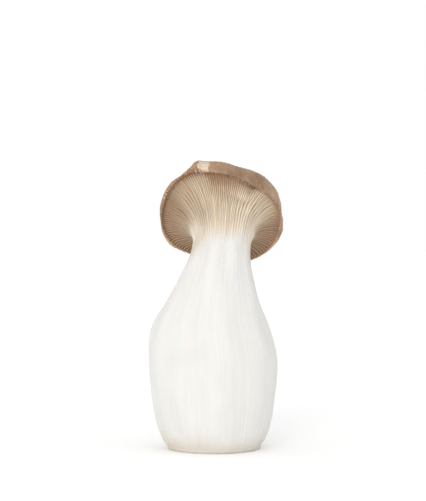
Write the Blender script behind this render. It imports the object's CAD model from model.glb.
import math

import bpy
import numpy as np
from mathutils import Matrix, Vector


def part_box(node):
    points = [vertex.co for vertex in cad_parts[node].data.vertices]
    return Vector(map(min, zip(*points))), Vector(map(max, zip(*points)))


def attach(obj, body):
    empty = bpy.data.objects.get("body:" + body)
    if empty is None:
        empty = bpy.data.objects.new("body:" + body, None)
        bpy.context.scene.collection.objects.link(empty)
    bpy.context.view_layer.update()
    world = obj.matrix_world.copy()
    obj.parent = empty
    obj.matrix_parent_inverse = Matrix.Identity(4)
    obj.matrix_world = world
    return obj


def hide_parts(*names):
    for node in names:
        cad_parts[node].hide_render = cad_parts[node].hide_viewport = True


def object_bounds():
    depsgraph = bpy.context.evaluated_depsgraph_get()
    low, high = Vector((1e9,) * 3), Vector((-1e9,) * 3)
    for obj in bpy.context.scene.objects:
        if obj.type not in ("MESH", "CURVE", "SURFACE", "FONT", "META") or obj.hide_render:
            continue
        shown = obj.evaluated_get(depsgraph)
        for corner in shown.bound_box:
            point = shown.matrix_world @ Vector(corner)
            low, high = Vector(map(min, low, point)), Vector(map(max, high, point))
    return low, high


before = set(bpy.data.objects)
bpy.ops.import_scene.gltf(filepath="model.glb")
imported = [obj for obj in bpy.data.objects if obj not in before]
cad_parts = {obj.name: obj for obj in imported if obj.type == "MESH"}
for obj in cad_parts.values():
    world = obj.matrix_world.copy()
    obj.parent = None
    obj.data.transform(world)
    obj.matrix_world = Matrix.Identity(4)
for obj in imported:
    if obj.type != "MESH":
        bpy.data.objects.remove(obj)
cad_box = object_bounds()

NODE = "mushroom"
PIECE = "king_oyster_mushroom"
FULL_TURN = 2.0 * math.pi

# The form, in millimetres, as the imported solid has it.
BELLY_RADIUS = 27.1
BELLY_HEIGHT = 38.0
NECK_RADIUS = 0.435 * BELLY_RADIUS
NECK_HEIGHT = 87.2
FOOT_RADIUS = 0.56 * BELLY_RADIUS
FOOT_CUT = 0.93
BELLY_EASE = 5.0
BELLY_DEPTH = 0.95
STEM_WANDER = ((0.0, 0.6), (36.0, 0.0), (51.0, -1.3), (63.0, 0.0), (75.0, 1.9), (NECK_HEIGHT, 4.2))
BEND_START = 60.0
BEND_BACK = 2.0
NECK_TILT = math.radians(24.0)
CAP_TILT = math.radians(43.0)
CAP_ROLL = math.radians(3.2)
CAP_RADIUS = 26.4
CAP_SHIFT = -0.5
UNDERSIDE_RISE = 11.3
MARGIN_THICKNESS = 7.2
THICK_SIDE = 3.2
THICK_TURN = math.radians(11.0)
GILL_REACH = 1.1
GILL_TURN = math.radians(-50.0)
OUTLINE_WAVES = ((1, 0.050, -27.0), (2, 0.062, -60.0), (3, 0.039, 0.0), (4, 0.034, -32.0))
HEIGHT_WAVES = ((1, 2.6, 0.0), (2, 0.85, -72.0))

# Points of the cap's section. Under the cap they are shares of the reach from neck to margin and of
# the underside's rise, on the margin of the reach and the thickness, on the crown of the radius and
# the thickness.
UNDERSIDE = ((0.03, -0.34), (0.0, 0.0), (0.08, 0.34), (0.27, 0.67), (0.55, 0.90), (0.81, 1.0))
MARGIN = ((0.89, -0.15), (0.97, -0.07), (1.0, 0.21), (0.96, 0.57), (0.81, 0.89))
CROWN = ((0.72, 1.22), (0.46, 1.40), (0.19, 1.36), (0.0, 1.32))

# Places along the skin: 0 to 1 up the stem, then the points of the section, counted from its first.
NECK = 1.0
GILL_EDGE = len(UNDERSIDE) - 1.0
CROWN_START = GILL_EDGE + len(MARGIN)
CAP_END = CROWN_START + len(CROWN)

# From here on, a name that ends in RISE holds (where it starts, its span), and one that ends in FALL
# holds (where it ends, its span).

# How the cap's waves grow outwards from the neck, how they fade over the crown, and where the one
# rule gives way to the other. Then how many places from the gill edge its own reach still counts.
REACH_POWER = 0.7
CROWN_REACH = 1.25
CROWN_RISE = (8.6, 2.8)
GILL_EDGE_SPAN = 3.0

# How far the gill edge slides along the skin, in places: out at the sides, in at the front right.
EDGE_OUT, EDGE_IN = 1.3, 0.5
EDGE_TURN, EDGE_SPAN, EDGE_BLEND = math.radians(12.0), math.radians(38.0), math.radians(17.0)
EDGE_SWAY = 0.12
SLIDE_RISE, SLIDE_FALL = (2.2, 2.8), (8.9, 3.9)

# Swellings (+) and hollows (-) of the margin: turn and half width in degrees, size in millimetres.
MARGIN_LOBES = (
    (-41.0, 13.0, -2.0), (-23.0, 5.0, 1.2), (12.0, 30.0, -0.35), (72.0, 9.0, -0.55), (89.0, 10.0, -1.05),
    (138.0, 15.0, -0.9), (165.0, 10.0, 0.6), (206.0, 13.0, -0.8), (236.0, 11.0, 0.7), (262.0, 10.0, -0.6),
)
LOBE_RISE, LOBE_FALL = (4.6, 2.4), (13.0, 3.4)

# Browner (+) and paler (-) patches: turn and half width in degrees, share of the gills' length and
# half length, strength.
TONES = (
    (-37.0, 14.0, 0.36, 0.35, 0.32), (-34.0, 16.0, 0.99, 0.13, 1.15),
    (64.0, 14.0, 0.42, 0.35, 0.32), (27.0, 15.0, 0.84, 0.13, -0.90),
)
SHADE_TURN = math.radians(15.0)    # the palest side of the gills

# The neck is eased over this many millimetres each side, with these weights at shares of it.
NECK_EASE = 5.0
EASE_WEIGHTS = ((-1.0, 0.12), (-0.5, 0.23), (0.0, 0.30), (0.5, 0.23), (1.0, 0.12))
EASE_FADE = 1.6                    # no ease beyond this many times its own length
LEAST_EASE = 0.01

# Sampling of the form, and the steps that give its outward directions.
TABLE_STEPS = 100
LENGTH_TURNS, STEM_SAMPLES, CAP_SAMPLES = 16, 60, 260
STEM_STEP, CAP_STEP, TURN_STEP, TOP_GAP = 0.002, 0.01, 0.004, 0.001
LEAST_LENGTH = 1e-9

# The gills. Every second one is short, and forks in from a full one.
GILLS = 128
GILL_SEED = 23
CROWD_TURN = math.radians(-42.0)   # where the gills stand closest
CROWDING = 0.17
GILL_JITTER = 0.10
SHORT_STARTS, FULL_STARTS = (0.04, 0.64), (-0.44, -0.22)
SHORT_GROWTH, FULL_GROWTH = 0.14, 0.56
GILL_HEIGHTS, SHORT_HEIGHT = (0.84, 1.06), 0.94
GILL_SWAYS, GILL_BEATS = (0.05, 0.13), (0.6, 1.6)
FORK_SHIFT, FORK_FALL = 0.42, (0.22, 0.22)
GILL_STOP = (1.04, 0.14)
GILL_DEPTH = 1.40
NECK_DEPTH, DEPTH_RISE = 0.42, (-0.1, 0.6)
RIM_LOSS, RIM_RISE = 0.30, (0.65, 0.35)
VALLEY_SHARE = 0.72
GILLED_GAIN, GILLED_RISE = 1.2, (0.3, 0.3)
LEAST_GILL = 0.02

# Points across each gill, from its crest to the next one: place in the gap, share of its height.
LANES = ((0.0, 1.0), (0.13, 0.86), (0.30, 0.30), (0.50, 0.0), (0.70, 0.30), (0.87, 0.86))
LANE_PLACES, LANE_HEIGHTS = np.array(LANES).T

# Rings of points: three counts, and runs of (first place, last place, rings, points).
FINE = GILLS * len(LANES)
MIDDLE = FINE // 2
COARSE = FINE // 4
GILL_FOOT = 74.0 / NECK_HEIGHT     # the place from which rings have a point for every lane
LIP_END, CROWN_TOP = 5.8, 12.5
STEM_RINGS, STEM_SPREAD = 45, 1.15
RING_RUNS = (
    (GILL_FOOT, NECK, 12, FINE),
    (NECK, GILL_EDGE, 42, FINE),
    (GILL_EDGE, LIP_END, 8, FINE),
    (LIP_END, CROWN_START, 32, MIDDLE),
    (CROWN_START, CROWN_TOP, 16, MIDDLE),
    (CROWN_TOP, CAP_END, 8, COARSE),
)
LANES_END = 1.05                   # share of the gills' length up to which rings carry them
HOLD_RISE = (-13.0, 5.0)           # millimetres past the neck, where points draw in to the gills
HOLD_FALL = (5.75, 0.55)           # and the place where they have let go again

# The torn chip in the margin.
CHIP_TURN = math.radians(-17.0)
CHIP_WIDTH = math.radians(4.2)
CHIP_SIDE_FALL = (1.40, 0.8)       # in half widths from its middle
CHIP_RISE, CHIP_FALL = (6.0, 0.5), (9.3, 0.8)
CHIP_DEPTH, CHIP_ROUGH, CHIP_DENT = 0.85, 0.22, 0.16
CHIP_RAGGED, CHIP_WAVY = 0.05, 0.20
RAGGED_PITCH, WAVY_PITCH, ROUGH_PITCH = 3.0, 4.0, 2.0

# Where the margin is most crumbly, the least of its worn look elsewhere, and how far that reaches.
CRUMB_TURN = math.radians(-50.0)
CRUMB_SPAN = math.radians(30.0)
LEAST_LIP = 0.65
LIP_RISE, LIP_FALL = (4.7, 0.5), (8.6, 3.2)

# Sizes of the relief in millimetres, and where along the skin each kind runs.
STEM_DENT, STEM_THREAD, STEM_FINE, STEM_WRINKLE, LOW_EXTRA = 0.26, 0.024, 0.013, 0.020, 0.03
STEM_FADE, LOW_FALL, FOOT_RISE = (NECK, 0.10), (0.30, 0.30), (0.0, 0.03)
CAP_RELIEF_START = 4.4
LIP_CRUMB, LIP_TOOTH = 0.17, 0.10
TOOTH_RISE, TOOTH_FALL = (GILL_EDGE, 0.15), (6.4, 0.8)
CAP_DENT, CAP_WRINKLE, CAP_PIT, CAP_THREAD = 0.13, 0.05, 0.035, 0.035
CAP_RISE, CAP_FALL = (5.2, 1.0), (CAP_END, 2.5)
THREAD_RISE, THREAD_FALL = (8.6, 2.4), (CAP_END, 2.0)
CRUMBLE, CRUMBLE_PIT, CRUMBLE_PITCH = 0.13, 0.10, 1.7
SKIN_RISE, SKIN_RAGGED = (4.98, 0.16), 0.05
CROWN_FALL, CROWN_LOSS, OUTER_FALL = (CAP_END, 4.5), 0.75, (11.0, 3.0)
CUT_FALL = (0.010, 0.010)

# The cut face: (share of the way out, points) of its rings, then its flat length and its relief.
FOOT_SHARES = ((0.11, COARSE), (0.22, COARSE), (0.34, COARSE), (0.46, COARSE), (0.58, COARSE),
               (0.70, COARSE), (0.81, COARSE), (0.91, MIDDLE), (0.97, MIDDLE))
FOOT_LENGTH = 20.0
FOOT_HOLLOW, FOOT_DEEPEST = 0.30, 0.9
FOOT_WRINKLE, FOOT_DENT, FOOT_CRUMB = 0.12, 0.12, 0.05
FOOT_CALM, FOOT_RIM = 0.7, 0.12

# The masks that the material reads at every point, the millimetres that count as one along the
# grain, and the flat layout's margin and slack.
MASKS = ("gill", "crest", "skin", "chip", "cut", "run", "side", "lip", "crown", "tone")
GRAIN_LENGTH = 100.0
FLAT_MARGIN, FLAT_SLACK = 0.004, 0.06

# Colours of the stem and the cut foot.
STEM_WHITE = (0.691, 0.688, 0.669)
STEM_STRAW = (0.663, 0.651, 0.617)
STEM_FIBRE = (0.612, 0.586, 0.537)
NECK_CREAM = (0.513, 0.425, 0.321)
FOOT_TAN = (0.560, 0.470, 0.350)
CUT_PALE = (0.700, 0.660, 0.590)
CUT_TAN = (0.610, 0.540, 0.440)

# Colours of the gills, on their ridges and in their valleys, from the neck to the rim.
RIDGE_NECK = (0.750, 0.698, 0.617)
RIDGE_MID = (0.830, 0.750, 0.625)
RIDGE_FAR = (0.588, 0.475, 0.353)
VALLEY_NECK = (0.640, 0.550, 0.440)
VALLEY_MID = (0.640, 0.520, 0.375)
VALLEY_FAR = (0.532, 0.383, 0.246)
RIM_BROWN = (0.268, 0.154, 0.084)
RIM_DARK = (0.262, 0.144, 0.076)
RIM_RUST = (0.235, 0.098, 0.036)
AGED_RIDGE = (0.306, 0.190, 0.117)
AGED_VALLEY = (0.254, 0.138, 0.073)
RIDGE_STOPS = ((0.0, RIDGE_NECK), (0.45, RIDGE_MID), (0.88, RIDGE_FAR), (1.0, RIM_BROWN))
VALLEY_STOPS = ((0.0, VALLEY_NECK), (0.45, VALLEY_MID), (0.84, VALLEY_FAR), (1.0, RIM_DARK))

# Colours of the cap's skin and of the torn chip.
SKIN_DEEP = (0.226, 0.133, 0.075)
SKIN_BROWN = (0.370, 0.249, 0.160)
SKIN_ORANGE = (0.413, 0.214, 0.099)
SKIN_PALE = (0.516, 0.376, 0.249)
SKIN_WORN = (0.626, 0.454, 0.284)
SKIN_DARK = (0.180, 0.105, 0.060)
CRUMB_PALE = (0.640, 0.530, 0.410)
TORN_PALE = (0.680, 0.595, 0.480)
TORN_TAN = (0.560, 0.450, 0.330)

# Where nodes stand in the editor, and the colour sockets of a Mix node.
NODE_STEP, NODE_ROWS = 180, 7
MIX_INPUTS, MIX_OUTPUT = (0, 6, 7), 2

# Noises: scale, detail, roughness and, along the grain, stretch.
STREAK_NOISE = (7.0, 5.0, 0.6, (1.0, 1.0, 0.30))
FINE_STREAK_NOISE = (38.0, 3.0, 0.55, (1.0, 1.0, 0.08))
CLOUD_NOISE = (48.0, 3.0, 0.5)
BLOTCH_NOISE = (6.0, 4.0, 0.6, (1.0, 1.0, 1.4))
PATCH_NOISE = (80.0, 5.0, 0.6)
WARM_NOISE = (38.0, 3.0, 0.5)
SCALE_NOISE = (260.0, 4.0, 0.65)
LINE_NOISE = (60.0, 3.0, 0.6, (1.0, 1.0, 0.12))
THREAD_NOISE = (26.0, 4.0, 0.6, (1.0, 1.0, 0.12))
SPECK_NOISE = (850.0, 2.0, 0.6)
TINY_NOISE = (1600.0, 3.0, 0.6)
MOTTLE_NOISE = (160.0, 4.0, 0.6)
FLOOR_NOISE = (400.0, 3.0, 0.5)

# Layers of colour: tint, values of the field between which it comes in, strength.
STRAW_STREAKS = (STEM_STRAW, 0.42, 0.72, 0.80)
FIBRE_STREAKS = (STEM_FIBRE, 0.50, 0.78, 0.22)
CLOUDS = (STEM_FIBRE, 0.52, 0.78, 0.30)
FOOT_STAIN = (FOOT_TAN, 0.016, 0.004, 0.55)
BLOTCHES = (RIM_BROWN, 0.45, 0.75, 0.16)
BROWN_PATCHES = (SKIN_BROWN, 0.34, 0.62, 1.0)
ORANGE_PATCHES = (SKIN_ORANGE, 0.50, 0.66, 0.70)
PALE_THREADS = (SKIN_PALE, 0.42, 0.72, 0.36)
DARK_SCALES = (SKIN_DARK, 0.50, 0.72, 0.35)
WORN_EDGE = (SKIN_WORN, 0.46, 0.60, 0.70)
PALE_CRUMBS = (CRUMB_PALE, 0.54, 0.62, 0.70)
PALE_SPECKS = (SKIN_PALE, 0.60, 0.75, 0.40)
DARK_SPECKS = (SKIN_DARK, 0.42, 0.28, 0.40)
TORN_MOTTLE = (TORN_TAN, 0.40, 0.68, 1.0)
TORN_EDGE = (SKIN_DARK, 0.10, 0.36, 0.45)
CUT_MOTTLE = (CUT_TAN, 0.38, 0.70, 1.0)

# Spans that carry a mask or a noise to a share (low and high, then first and last where they are not
# 0 and 1), with the other sizes that the material uses.
NECK_RUN, NECK_SIDES = (-0.75, 0.05), (0.02, 0.42, 0.12, 0.9)
FOOT_RAGGED = 0.012
CREST_SPAN = (0.05, 0.9)
AGE_SIDES, AGE_RUN, AGE_MOST = (0.15, 0.48), (0.0, 0.5), 0.75
RUST_RUN = (0.82, 0.97)
CRUMB_LEAD, CRUMB_POWER = 0.03, 2.0
GILL_SPAN = (0.0, 0.95)
TORN_UNEVEN, TORN_MASK, TORN_SPAN = (0.3, 0.7, -0.22, 0.22), (0.0, 0.15), (0.36, 0.52)
ROUGHNESS, SKIN_SMOOTHER = (0.3, 0.7, 0.52, 0.66), 0.10
SPECULAR = 0.35
LINE_HEIGHT, TINY_HEIGHT = 0.7, 0.3
LINE_BUMP, THREAD_BUMP, SPECK_BUMP = (0.30, 0.0003), (0.40, 0.0004), (0.30, 0.0003)
SUBSURFACE_WEIGHT, SUBSURFACE_SCALE, SUBSURFACE_RADIUS = 0.25, 0.003, (1.0, 0.60, 0.38)

# The floor, the light and the camera, in metres.
FLOOR_HALF = 30.0
FLOOR_DIM = (0.955, 0.955, 0.954)
FLOOR_PALE = (0.968, 0.968, 0.967)
FLOOR_ROUGHNESS, FLOOR_SPECULAR = 0.9, 0.1
WORLD_COLOUR = (1.0, 1.0, 1.0, 1.0)
WORLD_STRENGTH = 1.0
KEY_STRENGTH = 1.20
KEY_COLOUR = (1.0, 0.985, 0.96)
KEY_SPREAD = math.radians(32.0)
KEY_HEIGHT = math.radians(14.0)
KEY_TURN = math.radians(-15.0)
SENSOR = 36.0
VIEW_DISTANCE = 0.60
VIEW_TALL = 0.21042                # height of what the camera sees at the mushroom
VIEW_HEIGHT = 0.08295              # height of the camera itself
VIEW_NEAR, VIEW_FAR = 0.01, 100.0


def smoothstep(value):
    """0 up to 0, 1 from 1 on, and smooth in between."""
    value = np.clip(value, 0.0, 1.0)
    return value * value * (3.0 - 2.0 * value)


def rise(value, fade):
    """0 up to a fade's start and 1 from the end of its span on."""
    start, span = fade
    return smoothstep((value - start) / span)


def fall(value, fade):
    """1 until a fade's span begins and 0 from its end on."""
    end, span = fade
    return smoothstep((end - value) / span)


def along(points, place):
    """A smooth curve through points, read at a place counted in points."""
    last = len(points) - 1
    span = min(int(place), last - 1)
    t = place - span
    near = (max(span - 1, 0), span, span + 1, min(span + 2, last))
    p0, p1, p2, p3 = np.array([points[index] for index in near], float)
    square = 2.0 * p0 - 5.0 * p1 + 4.0 * p2 - p3
    cube = 3.0 * (p1 - p2) + p3 - p0
    return 0.5 * (2.0 * p1 + t * (p2 - p0 + t * (square + t * cube)))


def cap_outline():
    """Radius and height of the cap's section, from under the neck round to the crown."""
    reach = CAP_RADIUS - NECK_RADIUS
    points = [(NECK_RADIUS + out * reach, up * UNDERSIDE_RISE) for out, up in UNDERSIDE]
    points += [(NECK_RADIUS + out * reach, UNDERSIDE_RISE + up * MARGIN_THICKNESS) for out, up in MARGIN]
    points += [(out * CAP_RADIUS, UNDERSIDE_RISE + up * MARGIN_THICKNESS) for out, up in CROWN]
    return points


def waves(terms, turn):
    """Sum of waves round the mushroom, each (count, size, degrees of its first peak)."""
    return sum(size * np.cos(count * (turn - math.radians(peak))) for count, size, peak in terms)


def wander(height):
    """How far the stem's middle lies to +X at a height."""
    for index in range(len(STEM_WANDER) - 1):
        low, high = STEM_WANDER[index][0], STEM_WANDER[index + 1][0]
        if height <= high:
            return along(STEM_WANDER, index + (height - low) / (high - low))[1]
    return STEM_WANDER[-1][1]


def section_radius(height):
    """Radius of the stem: from the cut foot out to the belly, then in to the neck."""
    if height < BELLY_HEIGHT:
        inward = min(FOOT_CUT * (1.0 - height / BELLY_HEIGHT), 1.0)
        return FOOT_RADIUS + (BELLY_RADIUS - FOOT_RADIUS) * math.sqrt(1.0 - inward * inward)
    upward = rise(height, (BELLY_HEIGHT, NECK_HEIGHT - BELLY_HEIGHT))
    return BELLY_RADIUS + (NECK_RADIUS - BELLY_RADIUS) * upward


def stem_radius(height):
    """The stem's radius, eased with what lies just above and below."""
    beside = section_radius(height - BELLY_EASE) + section_radius(height + BELLY_EASE)
    return 0.5 * section_radius(height) + 0.25 * beside


class Ripple:
    """A smooth random field over turn and length that closes on itself round the mushroom."""

    def __init__(self, seed, terms, counts, pitches):
        rng = np.random.RandomState(seed)
        self.counts = rng.randint(counts[0], counts[1] + 1, terms)
        self.pulls = rng.uniform(-1.0, 1.0, terms) * FULL_TURN / rng.uniform(*pitches, terms)
        self.starts = rng.uniform(0.0, FULL_TURN, terms)
        self.sizes = rng.uniform(0.5, 1.0, terms)
        self.sizes /= math.sqrt(0.5 * float((self.sizes ** 2).sum()))

    def __call__(self, turn, length):
        total = np.zeros_like(turn)
        for count, pull, start, size in zip(self.counts, self.pulls, self.starts, self.sizes):
            total += size * np.cos(count * turn + pull * length + start)
        return total


# Seed, number of waves, least and most of them round the mushroom, least and most millimetres of each.
SWELL = Ripple(3, 10, (2, 6), (40.0, 120.0))
DENT = Ripple(5, 22, (3, 10), (18.0, 50.0))
FIBRE = Ripple(7, 40, (36, 110), (80.0, 300.0))
FINE_FIBRE = Ripple(9, 40, (90, 170), (50.0, 220.0))
PITTED = Ripple(11, 60, (20, 120), (1.6, 7.0))
WRINKLE = Ripple(13, 30, (5, 22), (3.0, 8.0))
CRUMB = Ripple(17, 60, (60, 180), (0.8, 2.6))

OUTLINE = cap_outline()
PLACE_TABLE = np.linspace(0.0, CAP_END, int(TABLE_STEPS * CAP_END) + 1)
RADIUS_TABLE, HEIGHT_TABLE = np.array([along(OUTLINE, place) for place in PLACE_TABLE]).T


def leaning(tilt, roll):
    """Right, back and up directions of a ring that leans back by tilt and to +X by roll."""
    ct, st, cr, sr = np.cos(tilt), np.sin(tilt), np.cos(roll), np.sin(roll)
    none = 0.0 * (ct + cr)
    right = np.stack([cr + none, -st * sr, -ct * sr], axis=-1)
    back = np.stack([none, ct + none, none - st], axis=-1)
    up = np.stack([sr + none, st * cr, ct * cr], axis=-1)
    return right, back, up


def stem_points(height, turn):
    """Points of the stem at one height."""
    bend = rise(height, (BEND_START, NECK_HEIGHT - BEND_START))
    right, back, _ = leaning(NECK_TILT * bend, 0.5 * CAP_ROLL * bend)
    radius = stem_radius(height)
    depth = radius * (BELLY_DEPTH + (1.0 - BELLY_DEPTH) * bend)
    centre = np.array([wander(height), BEND_BACK * bend, height])
    return centre + np.outer(radius * np.sin(turn), right) - np.outer(depth * np.cos(turn), back)


def turn_from(turn, start):
    """Turn measured from a start, the short way round."""
    return np.mod(turn - start + math.pi, FULL_TURN) - math.pi


def edge_slide(place, turn):
    """How far the gill edge and what is near it slide along the skin, in places."""
    away = np.abs(turn_from(turn, EDGE_TURN))
    front = smoothstep((EDGE_SPAN - away) / EDGE_BLEND)
    slide = EDGE_OUT - (EDGE_OUT + EDGE_IN) * front + EDGE_SWAY * SWELL(turn, 0.0)
    return slide * rise(place, SLIDE_RISE) * fall(place, SLIDE_FALL)


def margin_lobes(place, turn):
    """Swellings and hollows of the margin in millimetres."""
    total = np.zeros_like(turn)
    for peak, width, size in MARGIN_LOBES:
        total += size * np.exp(-(turn_from(turn, math.radians(peak)) / math.radians(width)) ** 2)
    return total * rise(place, LOBE_RISE) * fall(place, LOBE_FALL)


def wave_share(place, radius):
    """How much of the cap's waves a place gets: none at the neck and at the top of the crown."""
    reach = np.clip((radius - NECK_RADIUS) / (CAP_RADIUS - NECK_RADIUS), 0.0, 1.0) ** REACH_POWER
    crown = np.minimum(CROWN_REACH * radius / CAP_RADIUS, 1.0)
    return reach + (crown - reach) * rise(place, CROWN_RISE)


def cap_points(place, turn):
    """Points of the cap, with a place of its section for every turn."""
    radius = np.maximum(np.interp(place, PLACE_TABLE, RADIUS_TABLE), 0.0)
    height = np.interp(place, PLACE_TABLE, HEIGHT_TABLE)
    share = wave_share(place, radius)
    climb = np.minimum(height / UNDERSIDE_RISE, 1.0)
    tilt = NECK_TILT + (CAP_TILT - NECK_TILT) * climb
    roll = 0.5 * CAP_ROLL * (1.0 + climb)
    right, back, _ = leaning(tilt, roll)
    up = leaning(0.5 * (NECK_TILT + tilt), roll)[2]
    near_gills = np.maximum(1.0 - np.abs(place - GILL_EDGE) / GILL_EDGE_SPAN, 0.0)
    out = radius * (1.0 + share * waves(OUTLINE_WAVES, turn))
    out = out + near_gills * GILL_REACH * np.cos(turn - GILL_TURN)
    thick = share * np.clip((height - UNDERSIDE_RISE) / MARGIN_THICKNESS, 0.0, 1.0)
    lift = height + share * waves(HEIGHT_WAVES, turn) + thick * THICK_SIDE * np.sin(turn - THICK_TURN)
    centre = np.array([STEM_WANDER[-1][1], BEND_BACK, NECK_HEIGHT])
    across = out * np.sin(turn) + share * CAP_SHIFT
    return centre + across[:, None] * right - (out * np.cos(turn))[:, None] * back + lift[:, None] * up


def form_points(place, turn):
    """Points of the solid's form, with the gill edge slid along it."""
    if place < NECK:
        return stem_points(NECK_HEIGHT * place, turn)
    return cap_points(place + edge_slide(place, turn), turn)


def form_lengths():
    """Length along the skin at every place of a fine table, averaged round the mushroom."""
    turn = FULL_TURN * np.arange(LENGTH_TURNS) / LENGTH_TURNS
    places = np.append(np.linspace(0.0, NECK, STEM_SAMPLES)[:-1], np.linspace(NECK, CAP_END, CAP_SAMPLES))
    spots = np.array([form_points(place, turn) for place in places])
    gaps = np.linalg.norm(np.diff(spots, axis=0), axis=2).mean(axis=1)
    return places, np.append(0.0, np.cumsum(gaps))


PLACES, LENGTHS = form_lengths()
NECK_LENGTH, EDGE_LENGTH, FULL_LENGTH = np.interp((NECK, GILL_EDGE, CAP_END), PLACES, LENGTHS)


def skin_points(place, turn):
    """Points of the smooth form at one place and an array of turns, eased across the neck."""
    length = np.interp(place, PLACES, LENGTHS)
    ease = NECK_EASE * smoothstep(EASE_FADE - abs(length - NECK_LENGTH) / NECK_EASE)
    if ease < LEAST_EASE:
        return form_points(place, turn)
    total = np.zeros((len(turn), 3))
    for offset, weight in EASE_WEIGHTS:
        total += weight * form_points(np.interp(length + ease * offset, LENGTHS, PLACES), turn)
    return total


def skin_normals(place, turn):
    """Outward directions of the smooth form."""
    step = STEM_STEP if place < NECK else CAP_STEP
    low = max(place - step, NECK) if place >= NECK else place - step
    high = min(place + step, CAP_END - TOP_GAP)
    rising = skin_points(high, turn) - skin_points(low, turn)
    around = skin_points(place, turn + TURN_STEP) - skin_points(place, turn - TURN_STEP)
    normal = np.cross(around, rising)
    return normal / np.maximum(np.linalg.norm(normal, axis=1, keepdims=True), LEAST_LENGTH)


def crowded(even):
    """Even turns drawn together round one side, where the gills stand closest."""
    return even - CROWDING * (np.sin(even - CROWD_TURN) + math.sin(CROWD_TURN))


def ring_turns(count):
    """Turns of a ring's points before they are drawn in to the gills."""
    return crowded(FULL_TURN * np.arange(count) / count)


class Gills:
    """Where each gill lies, how tall it stands and where it starts."""

    def __init__(self, seed):
        rng = np.random.RandomState(seed)
        index = np.arange(GILLS)
        pitch = FULL_TURN / GILLS
        self.short = index % 2 == 1
        self.turn = crowded((index + rng.uniform(-GILL_JITTER, GILL_JITTER, GILLS)) * pitch)
        self.room = pitch * (1.0 - CROWDING * np.cos(index * pitch - CROWD_TURN))
        late, early = rng.uniform(*SHORT_STARTS, GILLS), rng.uniform(*FULL_STARTS, GILLS)
        self.start = np.where(self.short, late, early)
        self.tall = rng.uniform(*GILL_HEIGHTS, GILLS) * np.where(self.short, SHORT_HEIGHT, 1.0)
        self.side = np.where(rng.uniform(size=GILLS) < 0.5, -1.0, 1.0)
        self.sway = rng.uniform(*GILL_SWAYS, GILLS)
        self.beat = rng.uniform(*GILL_BEATS, GILLS)
        self.phase = rng.uniform(0.0, FULL_TURN, GILLS)

    def turns(self, run):
        """Turn of every gill at a share of the gills' length."""
        swing = self.sway * np.sin(FULL_TURN * self.beat * run + self.phase)
        fork = self.side * FORK_SHIFT * fall(run - self.start, FORK_FALL) * self.short
        return self.turn + (swing + fork) * self.room

    def heights(self, run):
        """Height of every gill, 0 to 1, at a share of the gills' length."""
        growth = np.where(self.short, SHORT_GROWTH, FULL_GROWTH)
        return self.tall * rise(run, (self.start, growth)) * fall(run, GILL_STOP)


gills = Gills(GILL_SEED)


def lane_turns(count, run, hold):
    """Turns of a ring's points, drawn in to the gills as far as hold says."""
    even = ring_turns(count)
    if hold <= 0.0 or count != FINE:
        return even
    here = gills.turns(run)
    after = np.append(here[1:], here[0] + FULL_TURN)
    spread = here[:, None] + (after - here)[:, None] * LANE_PLACES
    return even + hold * (spread.ravel() - even)


def lane_heights(run):
    """Gill height at every point of a fine ring, sharing each valley between two gills."""
    here = gills.heights(run)
    first = here[:, None] * LANE_HEIGHTS
    second = np.roll(here, -1)[:, None] * LANE_HEIGHTS
    return np.where(LANE_PLACES < 0.5, first, second).ravel()


def ring_list():
    """Every ring as (place, point count), from the cut foot to the crown."""
    rings = [(GILL_FOOT * (index / STEM_RINGS) ** STEM_SPREAD, MIDDLE) for index in range(STEM_RINGS)]
    for first, last, count, points in RING_RUNS:
        rings += [(first + (last - first) * index / count, points) for index in range(count)]
    return rings


def chip_mask(place, turn):
    """The torn chip in the margin: 1 inside it, 0 outside."""
    ragged = CHIP_RAGGED * CRUMB(turn, RAGGED_PITCH * place) + CHIP_WAVY * WRINKLE(turn, WAVY_PITCH * place)
    away = np.abs(turn_from(turn, CHIP_TURN)) / CHIP_WIDTH
    return fall(away - ragged, CHIP_SIDE_FALL) * rise(place, CHIP_RISE) * fall(place, CHIP_FALL)


def lip_share(place):
    """1 on the margin beside the gill edge, falling to 0 over its outer face."""
    return rise(place, LIP_RISE) * fall(place, LIP_FALL)


def crumbly(turn):
    """1 on the side where the margin is most crumbly, fading round the mushroom."""
    return np.exp(-(turn_from(turn, CRUMB_TURN) / CRUMB_SPAN) ** 2)


def stem_relief(place, turn, length):
    """Dents, fibres and wrinkles of the stem, a little stronger low down."""
    low = LOW_EXTRA * fall(place, LOW_FALL)
    shift = STEM_DENT * DENT(turn, length)
    shift += (STEM_THREAD + low) * FIBRE(turn, length) + STEM_FINE * FINE_FIBRE(turn, length)
    shift = shift * fall(place, STEM_FADE) + (STEM_WRINKLE + low) * WRINKLE(turn, length)
    return shift * rise(place, FOOT_RISE)


def gill_relief(run):
    """Outward shift of a fine ring, with how gilled it is and how near each crest."""
    tall = lane_heights(run)
    here = gills.heights(run)
    most = np.repeat(np.maximum(here, np.roll(here, -1)), len(LANES))
    deep = GILL_DEPTH * (NECK_DEPTH + (1.0 - NECK_DEPTH) * rise(run, DEPTH_RISE))
    deep *= 1.0 - RIM_LOSS * rise(run, RIM_RISE)
    crest = np.where(most > LEAST_GILL, tall / np.maximum(most, LEAST_GILL), 1.0)
    gilled = np.maximum(np.clip(GILLED_GAIN * most, 0.0, 1.0), rise(run, GILLED_RISE))
    return deep * (tall - VALLEY_SHARE * most), gilled, np.clip(crest, 0.0, 1.0)


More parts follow.
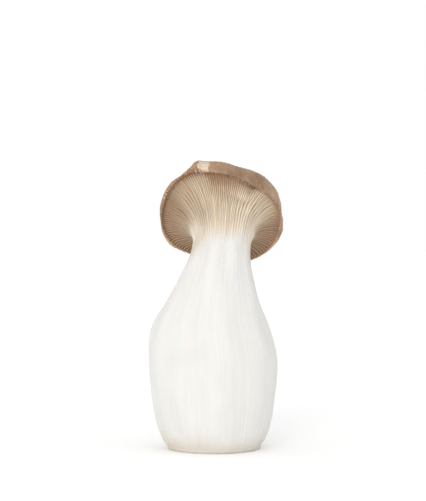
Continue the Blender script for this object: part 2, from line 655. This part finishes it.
def cap_relief(place, turn, length):
    """Teeth, crumbs and lobes of the margin, and the texture of the cap's skin."""
    teeth = LIP_CRUMB * CRUMB(turn, length) + LIP_TOOTH * FINE_FIBRE(turn, 0.0)
    texture = CAP_DENT * DENT(turn, length) + CAP_WRINKLE * WRINKLE(turn, length)
    texture += CAP_PIT * PITTED(turn, length)
    threads = CAP_THREAD * FIBRE(turn, length)
    crumbs = CRUMBLE * CRUMB(turn, CRUMBLE_PITCH * length) + CRUMBLE_PIT * PITTED(turn, length)
    shift = teeth * rise(place, TOOTH_RISE) * fall(place, TOOTH_FALL)
    shift += texture * rise(place, CAP_RISE) * fall(place, CAP_FALL)
    shift += threads * rise(place, THREAD_RISE) * fall(place, THREAD_FALL)
    return shift + crumbs * crumbly(turn) * lip_share(place) + margin_lobes(place, turn)


def chip_relief(turn, length):
    """How deep the torn chip is."""
    return CHIP_DEPTH + CHIP_ROUGH * CRUMB(turn, ROUGH_PITCH * length) + CHIP_DENT * WRINKLE(turn, length)


def relief(place, turn, length, run, on_gills):
    """Outward shift in millimetres from the smooth form, and the masks of gills and chip."""
    shift, gill, crest, chip = np.zeros_like(turn), 0.0, 1.0, 0.0
    if place < NECK:
        shift += stem_relief(place, turn, length)
    if on_gills:
        ridges, gill, crest = gill_relief(run)
        shift += ridges
    elif place >= GILL_EDGE:
        gill = 1.0
    if place > CAP_RELIEF_START:
        chip = chip_mask(place, turn)
        shift += cap_relief(place, turn, length) - chip * chip_relief(turn, length)
    return shift, {"gill": gill, "crest": crest, "chip": chip}


def toning(turn, run):
    """How much browner (+) or paler (-) each point is than the even fading towards the margin."""
    total = np.zeros_like(turn)
    for peak, width, middle, half, strength in TONES:
        across = (turn_from(turn, math.radians(peak)) / math.radians(width)) ** 2
        total += strength * np.exp(-across - ((run - middle) / half) ** 2)
    return total


def plain_masks(place, turn, run):
    """The masks that only depend on where a point lies."""
    return {
        "skin": rise(place + SKIN_RAGGED * FINE_FIBRE(turn, 0.0), SKIN_RISE),
        "cut": fall(place, CUT_FALL),
        "run": run,
        "side": 0.5 - 0.5 * np.cos(turn - SHADE_TURN),
        "lip": lip_share(place) * (LEAST_LIP + (1.0 - LEAST_LIP) * crumbly(turn)),
        "crown": fall(place, CROWN_FALL) * (1.0 - CROWN_LOSS * fall(place, OUTER_FALL)),
        "tone": toning(turn, run),
    }


class Skin:
    """Rings of points joined in order into one closed mesh."""

    def __init__(self):
        self.points, self.plain, self.turns, self.lengths, self.starts = [], [], [], [], []
        self.masks = {name: [] for name in MASKS}
        self.faces, self.corners = [], []

    def add(self, points, plain, turn, length, masks):
        """A ring, with the points of the smooth form beneath it."""
        self.starts.append(sum(len(ring) for ring in self.points))
        self.points.append(points)
        self.plain.append(plain)
        self.turns.append(turn)
        self.lengths.append(length)
        for name, blocks in self.masks.items():
            blocks.append(masks.get(name, 0.0) * np.ones(len(points)))

    def corner(self, ring, step):
        """Point number, turn and length of a ring's point, going on past a full turn."""
        turn = self.turns[ring]
        lap, index = divmod(step, len(turn))
        return self.starts[ring] + index, turn[index] + FULL_TURN * lap, self.lengths[ring]

    def face(self, corners):
        """A face, and where its corners lie in turn and length."""
        self.faces.append([corner[0] for corner in corners])
        self.corners.extend(corner[1:] for corner in corners)

    def join(self, lower, upper):
        """Faces between two rings whose point counts are equal or whole multiples."""
        low, high = len(self.turns[lower]), len(self.turns[upper])
        few, many, turned = (lower, upper, False) if low <= high else (upper, lower, True)
        times = max(low, high) // min(low, high)
        for step in range(min(low, high)):
            a, b = self.corner(few, step), self.corner(few, step + 1)
            over = [self.corner(many, times * step + k) for k in range(times + 1)]
            if times == 1:
                self.face((a, b, over[1], over[0]))
                continue
            half = times // 2
            fan = [(a, over[k + 1], over[k]) for k in range(half)]
            fan.append((a, b, over[half]))
            fan += [(b, over[k + 1], over[k]) for k in range(half, times)]
            for corners in fan:
                self.face(corners[::-1] if turned else corners)

    def close(self, ring, point, length, turned):
        """A fan from a ring to one point."""
        for step in range(len(self.turns[ring])):
            a, b = self.corner(ring, step), self.corner(ring, step + 1)
            tip = (point, 0.5 * (a[1] + b[1]), length)
            self.face((b, a, tip) if turned else (a, b, tip))


def add_foot(skin):
    """The cut face: rings pressed up a little, never down, from its middle out to its edge."""
    middle = skin_points(0.0, FULL_TURN * np.arange(MIDDLE) / MIDDLE).mean(axis=0)
    for share, count in FOOT_SHARES:
        turn = ring_turns(count)
        points = middle + (skin_points(0.0, turn) - middle) * share
        out = FOOT_LENGTH * share
        uneven = FOOT_WRINKLE * WRINKLE(turn, out) + FOOT_DENT * DENT(turn, out)
        uneven += FOOT_CRUMB * CRUMB(turn, out)
        hollow = FOOT_HOLLOW + uneven * smoothstep(share / FOOT_CALM)
        points[:, 2] = np.clip(hollow, 0.0, FOOT_DEEPEST) * smoothstep((1.0 - share) / FOOT_RIM)
        skin.add(points, points, turn, out - FOOT_LENGTH, {"cut": 1.0, "crest": 1.0})
    return middle + np.array([0.0, 0.0, FOOT_HOLLOW])


def add_rings(skin):
    """The rings from the edge of the cut face up to the last one below the top of the crown."""
    for place, count in ring_list():
        length = np.interp(place, PLACES, LENGTHS)
        run = (length - NECK_LENGTH) / (EDGE_LENGTH - NECK_LENGTH)
        hold = rise(length - NECK_LENGTH, HOLD_RISE) * fall(place, HOLD_FALL)
        turn = lane_turns(count, run, hold)
        plain = skin_points(place, turn)
        shift, masks = relief(place, turn, length, run, count == FINE and run < LANES_END)
        masks.update(plain_masks(place, turn, run))
        skin.add(plain + skin_normals(place, turn) * shift[:, None], plain, turn, length, masks)


def fitted(points, plain):
    """Points in metres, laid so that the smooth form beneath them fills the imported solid's box."""
    low, high = (np.array(corner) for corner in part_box(NODE))
    least, most = plain.min(axis=0), plain.max(axis=0)
    placed = (points - least) * (high - low) / (most - least) + low
    placed[:, 2] = np.maximum(placed[:, 2], low[2])
    return placed


def unwrap(mesh, corners):
    """Lay the skin out flat: turn across, length up, inside a small margin."""
    flat = np.empty(corners.size)
    flat[0::2] = corners[:, 0] / (FULL_TURN + FLAT_SLACK)
    flat[1::2] = (corners[:, 1] + FOOT_LENGTH) / (FULL_LENGTH + FOOT_LENGTH)
    flat = FLAT_MARGIN + (1.0 - 2.0 * FLAT_MARGIN) * flat
    mesh.uv_layers.new(name="OFBake").data.foreach_set("uv", flat)


def mark(mesh, skin):
    """Give every point its masks and its place along the grain. The last two are the tips."""
    for name, blocks in skin.masks.items():
        tips = [float(name == "cut"), float(name == "skin")]
        values = np.concatenate(blocks + [tips]).astype(np.float32)
        mesh.attributes.new(name, "FLOAT", "POINT").data.foreach_set("value", values)
    turns = np.concatenate(skin.turns + [np.zeros(2)])
    lengths = np.repeat(skin.lengths, [len(turn) for turn in skin.turns])
    lengths = np.append(lengths, (-FOOT_LENGTH, FULL_LENGTH))
    grain = np.column_stack([np.cos(turns), np.sin(turns), lengths / GRAIN_LENGTH]).astype(np.float32)
    mesh.attributes.new("grain", "FLOAT_VECTOR", "POINT").data.foreach_set("vector", grain.ravel())


def placed_in_scene(name, data):
    """A new object for some data, put into the scene."""
    made = bpy.data.objects.new(name, data)
    bpy.context.scene.collection.objects.link(made)
    return made


def build_skin():
    """The whole mushroom as one closed mesh in metres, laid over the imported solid's box."""
    skin = Skin()
    middle = add_foot(skin)
    add_rings(skin)
    top = skin_points(CAP_END, np.zeros(1))
    points = np.vstack(skin.points + [middle, top])
    last = len(skin.points) - 1
    for ring in range(last):
        skin.join(ring, ring + 1)
    skin.close(0, len(points) - 2, -FOOT_LENGTH, True)
    skin.close(last, len(points) - 1, FULL_LENGTH, False)

    mesh = bpy.data.meshes.new(PIECE)
    mesh.from_pydata(fitted(points, np.concatenate(skin.plain)).tolist(), [], skin.faces)
    mesh.polygons.foreach_set("use_smooth", [True] * len(skin.faces))
    unwrap(mesh, np.array(skin.corners))
    mark(mesh, skin)
    mesh.update()
    return placed_in_scene(PIECE, mesh)


class Graph:
    """Short calls for making a material's nodes."""

    def __init__(self, material):
        material.use_nodes = True
        self.tree = material.node_tree
        self.tree.nodes.clear()
        self.count = 0

    def node(self, kind, **settings):
        """A node with some of its settings, laid out after the last one."""
        made = self.tree.nodes.new(kind)
        made.location = (self.count * NODE_STEP, -(self.count % NODE_ROWS) * NODE_STEP)
        self.count += 1
        for name, value in settings.items():
            setattr(made, name, value)
        return made

    def feed(self, socket, value):
        """Link a socket to another one, or set its value."""
        if isinstance(value, bpy.types.NodeSocket):
            self.tree.links.new(value, socket)
        elif isinstance(value, tuple) and socket.type == "RGBA":
            socket.default_value = (*value, 1.0)
        else:
            socket.default_value = value

    def attribute(self, name, output="Fac"):
        """What a mesh attribute holds."""
        return self.node("ShaderNodeAttribute", attribute_name=name).outputs[output]

    def math(self, operation, first, second):
        """Two values joined by an operation."""
        made = self.node("ShaderNodeMath", operation=operation)
        self.feed(made.inputs[0], first)
        self.feed(made.inputs[1], second)
        return made.outputs[0]

    def span(self, value, low, high, first=0.0, last=1.0):
        """Value carried smoothly from low..high to first..last."""
        made = self.node("ShaderNodeMapRange", interpolation_type="SMOOTHSTEP")
        self.feed(made.inputs["Value"], value)
        for name, item in (("From Min", low), ("From Max", high), ("To Min", first), ("To Max", last)):
            self.feed(made.inputs[name], item)
        return made.outputs["Result"]

    def upright(self, vector):
        """Height part of a vector."""
        made = self.node("ShaderNodeSeparateXYZ")
        self.feed(made.inputs[0], vector)
        return made.outputs["Z"]

    def mix(self, share, first, second):
        """First colour at a share of 0, second at 1."""
        made = self.node("ShaderNodeMix", data_type="RGBA")
        for index, item in zip(MIX_INPUTS, (share, first, second)):
            self.feed(made.inputs[index], item)
        return made.outputs[MIX_OUTPUT]

    def layer(self, colour, field, coat, where=1.0):
        """A colour with a coat over it, as thick as the field and the place say."""
        tint, low, high, strength = coat
        share = self.math("MULTIPLY", self.span(field, low, high), where)
        return self.mix(self.math("MULTIPLY", share, strength), colour, tint)

    def ramp(self, value, stops):
        """Colours read off along a value."""
        made = self.node("ShaderNodeValToRGB")
        elements = made.color_ramp.elements
        while len(elements) < len(stops):
            elements.new(0.5)
        for element, (place, colour) in zip(elements, stops):
            element.position = place
            element.color = (*colour, 1.0)
        self.feed(made.inputs[0], value)
        return made.outputs[0]

    def noise(self, vector, scale, detail, rough, stretch=(1.0, 1.0, 1.0)):
        """A noise of mean one half over a vector, longer where the stretch is under 1."""
        mapping = self.node("ShaderNodeMapping")
        self.feed(mapping.inputs["Vector"], vector)
        mapping.inputs["Scale"].default_value = stretch
        made = self.node("ShaderNodeTexNoise")
        self.feed(made.inputs["Vector"], mapping.outputs[0])
        made.inputs["Scale"].default_value = scale
        made.inputs["Detail"].default_value = detail
        made.inputs["Roughness"].default_value = rough
        return made.outputs["Fac"]

    def bump(self, height, size, normal=None):
        """A normal roughened by a height, with a size of (strength, distance)."""
        made = self.node("ShaderNodeBump")
        self.feed(made.inputs["Height"], height)
        made.inputs["Strength"].default_value, made.inputs["Distance"].default_value = size
        if normal is not None:
            self.feed(made.inputs["Normal"], normal)
        return made.outputs["Normal"]

    def finish(self, colour, roughness, specular):
        """A Principled shader on the surface output."""
        shader = self.node("ShaderNodeBsdfPrincipled")
        self.feed(shader.inputs["Base Color"], colour)
        self.feed(shader.inputs["Roughness"], roughness)
        shader.inputs["Specular IOR Level"].default_value = specular
        output = self.node("ShaderNodeOutputMaterial")
        self.feed(output.inputs["Surface"], shader.outputs[0])
        return shader


def flesh_colour(g, masks, grain, place):
    """Warm white stem with faint straw streaks along its fibres, duller at the foot and neck."""
    cloud = g.noise(place, *CLOUD_NOISE)
    colour = g.layer(STEM_WHITE, g.noise(grain, *STREAK_NOISE), STRAW_STREAKS)
    colour = g.layer(colour, g.noise(grain, *FINE_STREAK_NOISE), FIBRE_STREAKS)
    colour = g.layer(colour, cloud, CLOUDS)
    neck = g.math("MULTIPLY", g.span(masks["run"], *NECK_RUN), g.span(masks["side"], *NECK_SIDES))
    height = g.math("ADD", g.upright(place), g.math("MULTIPLY", cloud, FOOT_RAGGED))
    return g.layer(g.mix(neck, colour, NECK_CREAM), height, FOOT_STAIN)


def gill_colour(g, masks, grain):
    """Cream ridges over tan valleys, browner towards the margin and to the sides."""
    run, side, tone = masks["run"], masks["side"], masks["tone"]
    near = g.span(masks["crest"], *CREST_SPAN)
    colour = g.mix(near, g.ramp(run, VALLEY_STOPS), g.ramp(run, RIDGE_STOPS))
    colour = g.layer(colour, g.noise(grain, *BLOTCH_NOISE), BLOTCHES)
    colour = g.mix(g.math("MULTIPLY", tone, -1.0), colour, g.mix(near, VALLEY_MID, RIDGE_MID))
    aged = g.mix(near, AGED_VALLEY, AGED_RIDGE)
    age = g.math("MULTIPLY", g.span(side, *AGE_SIDES), g.span(run, *AGE_RUN))
    colour = g.mix(g.math("MULTIPLY", age, AGE_MOST), colour, aged)
    return g.mix(tone, colour, g.mix(g.span(run, *RUST_RUN), aged, RIM_RUST))


def skin_colour(g, masks, place, thread, speck):
    """Grey-brown cap skin with radial threads, patches, and pale and dark specks."""
    lip, crown, tone = masks["lip"], masks["crown"], masks["tone"]
    warm = g.noise(place, *WARM_NOISE)
    colour = g.layer(SKIN_DEEP, g.noise(place, *PATCH_NOISE), BROWN_PATCHES)
    colour = g.layer(colour, warm, ORANGE_PATCHES)
    colour = g.layer(colour, thread, PALE_THREADS, g.span(crown, 0.0, 1.0))
    colour = g.layer(colour, g.noise(place, *SCALE_NOISE), DARK_SCALES)
    colour = g.layer(colour, warm, WORN_EDGE, lip)
    colour = g.mix(tone, colour, RIM_RUST)
    loose = g.math("ADD", speck, g.math("MULTIPLY", tone, CRUMB_LEAD))
    colour = g.layer(colour, loose, PALE_CRUMBS, g.math("POWER", lip, CRUMB_POWER))
    colour = g.layer(colour, speck, PALE_SPECKS)
    return g.layer(colour, speck, DARK_SPECKS)


def torn_colour(g, colour, chip, mottle):
    """A colour with pale torn flesh in the chip, inside a darker ragged edge."""
    uneven = g.math("MULTIPLY", g.span(mottle, *TORN_UNEVEN), g.span(chip, *TORN_MASK))
    ragged = g.math("ADD", chip, uneven)
    edged = g.layer(colour, ragged, TORN_EDGE)
    return g.mix(g.span(ragged, *TORN_SPAN), edged, g.layer(TORN_PALE, mottle, TORN_MOTTLE))


def fine_normal(g, masks, grain, place, thread, speck):
    """Fine lines everywhere but on the cut face, with threads and specks on the cap's skin."""
    lines = g.math("MULTIPLY", g.noise(grain, *LINE_NOISE), LINE_HEIGHT)
    lines = g.math("MULTIPLY", lines, g.math("SUBTRACT", 1.0, masks["cut"]))
    tiny = g.math("MULTIPLY", g.noise(place, *TINY_NOISE), TINY_HEIGHT)
    normal = g.bump(g.math("ADD", lines, tiny), LINE_BUMP)
    normal = g.bump(g.math("MULTIPLY", thread, masks["skin"]), THREAD_BUMP, normal)
    return g.bump(g.math("MULTIPLY", speck, masks["skin"]), SPECK_BUMP, normal)


def mushroom_material():
    """Flesh, gills, skin, torn chip and cut face, each where its mask says."""
    material = bpy.data.materials.new("mushroom_skin_and_flesh")
    g = Graph(material)
    place = g.node("ShaderNodeTexCoord").outputs["Object"]
    grain = g.attribute("grain", "Vector")
    masks = {name: g.attribute(name) for name in MASKS}
    thread = g.noise(grain, *THREAD_NOISE)
    speck = g.noise(place, *SPECK_NOISE)
    mottle = g.noise(place, *MOTTLE_NOISE)

    colour = flesh_colour(g, masks, grain, place)
    colour = g.mix(g.span(masks["gill"], *GILL_SPAN), colour, gill_colour(g, masks, grain))
    colour = g.mix(masks["skin"], colour, skin_colour(g, masks, place, thread, speck))
    colour = torn_colour(g, colour, masks["chip"], mottle)
    colour = g.mix(masks["cut"], colour, g.layer(CUT_PALE, mottle, CUT_MOTTLE))

    smoother = g.math("MULTIPLY", masks["skin"], SKIN_SMOOTHER)
    roughness = g.math("SUBTRACT", g.span(mottle, *ROUGHNESS), smoother)
    shader = g.finish(colour, roughness, SPECULAR)
    g.feed(shader.inputs["Normal"], fine_normal(g, masks, grain, place, thread, speck))
    shader.inputs["Subsurface Weight"].default_value = SUBSURFACE_WEIGHT
    shader.inputs["Subsurface Radius"].default_value = SUBSURFACE_RADIUS
    shader.inputs["Subsurface Scale"].default_value = SUBSURFACE_SCALE
    return material


def floor_plane():
    """A plain pale floor under the cut foot."""
    mesh = bpy.data.meshes.new("floor")
    half, level = FLOOR_HALF, cad_box[0][2]
    corners = [(-half, -half, level), (half, -half, level), (half, half, level), (-half, half, level)]
    mesh.from_pydata(corners, [], [(0, 1, 2, 3)])
    material = bpy.data.materials.new("floor_paper")
    g = Graph(material)
    grain = g.noise(g.node("ShaderNodeTexCoord").outputs["Object"], *FLOOR_NOISE)
    g.finish(g.mix(grain, FLOOR_DIM, FLOOR_PALE), FLOOR_ROUGHNESS, FLOOR_SPECULAR)
    mesh.materials.append(material)
    placed_in_scene("floor", mesh)


def soft_light():
    """Even studio light with a soft key from the front left."""
    world = bpy.data.worlds.new("studio")
    bpy.context.scene.world = world
    world.use_nodes = True
    back = world.node_tree.nodes["Background"]
    back.inputs["Color"].default_value = WORLD_COLOUR
    back.inputs["Strength"].default_value = WORLD_STRENGTH
    sun = bpy.data.lights.new("key", "SUN")
    sun.energy = KEY_STRENGTH
    sun.angle = KEY_SPREAD
    sun.color = KEY_COLOUR
    placed_in_scene("key", sun).rotation_euler = (math.pi / 2.0 - KEY_HEIGHT, 0.0, KEY_TURN)


def front_camera():
    """Level view from the front that sees a set height at the mushroom."""
    camera = bpy.data.cameras.new("camera")
    camera.sensor_width = SENSOR
    camera.lens = SENSOR * VIEW_DISTANCE / VIEW_TALL
    camera.clip_start = VIEW_NEAR
    camera.clip_end = VIEW_FAR
    holder = placed_in_scene("camera", camera)
    holder.location = (0.0, -VIEW_DISTANCE, VIEW_HEIGHT)
    holder.rotation_euler = (math.pi / 2.0, 0.0, 0.0)
    bpy.context.scene.camera = holder


mushroom = build_skin()
mushroom.data.materials.append(mushroom_material())
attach(mushroom, "root")
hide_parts(NODE)

floor_plane()
soft_light()
front_camera()
bpy.context.scene.view_settings.view_transform = "Standard"
